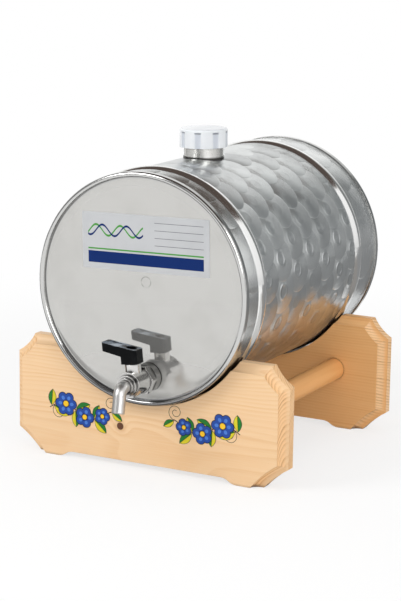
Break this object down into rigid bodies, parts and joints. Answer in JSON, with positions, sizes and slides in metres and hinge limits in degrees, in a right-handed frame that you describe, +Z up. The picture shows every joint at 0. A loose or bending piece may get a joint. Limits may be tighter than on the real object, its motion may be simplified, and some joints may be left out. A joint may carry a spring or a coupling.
{
  "type": "barrel drinks dispenser",
  "caption": "Stainless steel barrel lying in a scalloped pine cradle, with a lever ball tap and bent spout in its front end and a fluted screw cap on top; it stores and pours drinks.",
  "frame": {"origin": "on the floor under the middle of the footprint, which runs from the spout's tip to the rear rim", "axes": "+Z up, -Y towards the front with the tap, +X to the right seen from the front"},
  "size_m": [0.292, 0.3642, 0.3134],
  "materials": {
    "shell_steel": "ground all over in small overlapping swirls",
    "bright_steel": "polished",
    "tap_metal": "satin plated",
    "cap_plastic": "translucent, moulded",
    "white_plastic": "waxy",
    "label_film": "printed film with plain colour bands",
    "seal_rubber": "matt",
    "black_plastic": "moulded, half gloss",
    "pine": "clear varnished pine",
    "board_print": "printed ink on the boards"
  },
  "bodies": {
    "stand": {"front_board": "pine", "rear_board": "pine", "left_rail": "pine", "right_rail": "pine"},
    "barrel": {"barrel_shell": "shell_steel", "front_end": "bright_steel", "back_end": "bright_steel", "filler_neck": "bright_steel", "label": "label_film", "tap_boss": "bright_steel", "boss_seal": "seal_rubber", "valve_body": "tap_metal", "inlet_seat": "white_plastic", "outlet_seat": "white_plastic", "stem_washer": "white_plastic", "valve_insert": "tap_metal", "insert_seal": "seal_rubber", "spout": "tap_metal"},
    "handle": {"handle_lever": "black_plastic", "handle_screw": "tap_metal", "valve_stem": "tap_metal", "valve_ball": "tap_metal", "stem_seals": "seal_rubber"},
    "cap_liner": {"cap_gasket": "white_plastic"},
    "cap": {"filler_cap": "cap_plastic"}
  },
  "joints": [
    {"name": "barrel_lift", "type": "slide", "parent": "stand", "child": "barrel", "axis": [0, 0, 1], "range_m": [0, 0.07]},
    {"name": "handle_turn", "type": "hinge", "parent": "barrel", "child": "handle", "pos_m": [0.00857, -0.14293, 0.09445], "axis": [-0.1045, 0, 0.9945], "range_deg": [0, 90]},
    {"name": "cap_lift", "type": "slide", "parent": "barrel", "child": "cap_liner", "axis": [-0.0175, 0, 0.9998], "range_m": [0, 0.014]},
    {"name": "cap_turn", "type": "hinge", "parent": "cap_liner", "child": "cap", "pos_m": [0, 0.00657, 0.176], "axis": [-0.0175, 0, 0.9998], "range_deg": [0, 1260]}
  ],
  "couplings": [
    {"joint": "cap_lift", "follows": "cap_turn", "m_per_rad": 0.00063662}
  ]
}
